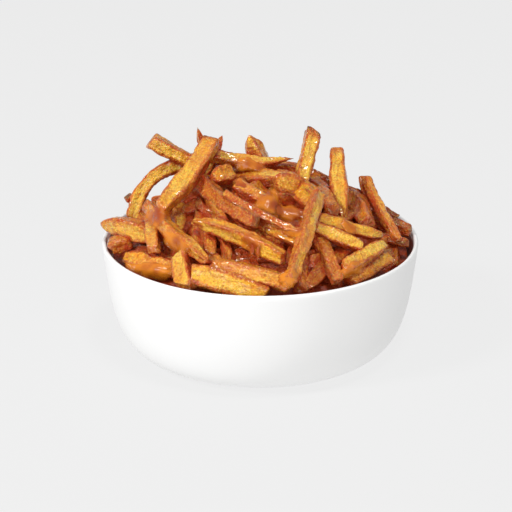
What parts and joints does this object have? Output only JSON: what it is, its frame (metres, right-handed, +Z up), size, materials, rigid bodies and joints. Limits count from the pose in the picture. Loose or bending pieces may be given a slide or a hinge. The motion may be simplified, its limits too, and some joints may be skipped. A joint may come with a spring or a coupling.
{
  "type": "dish of french fries",
  "caption": "Round white bowl heaped above its rim with french fries, with glossy brown sauce poured over them.",
  "frame": {"origin": "on the surface the bowl stands on, under the middle of its foot", "axes": "+Z up through the heap, -Y towards the front of the dish as it is seen, +X to its right"},
  "size_m": [0.1605, 0.16, 0.1064],
  "materials": {
    "glazed_white": "smooth white glaze with a soft sheen",
    "fried_potato": "golden to brown fried potato, pitted and slightly oily",
    "brown_sauce": "thick glossy caramel-brown sauce"
  },
  "bodies": {
    "root": {"bowl": "glazed_white", "fries": "fried_potato"}
  },
  "joints": []
}
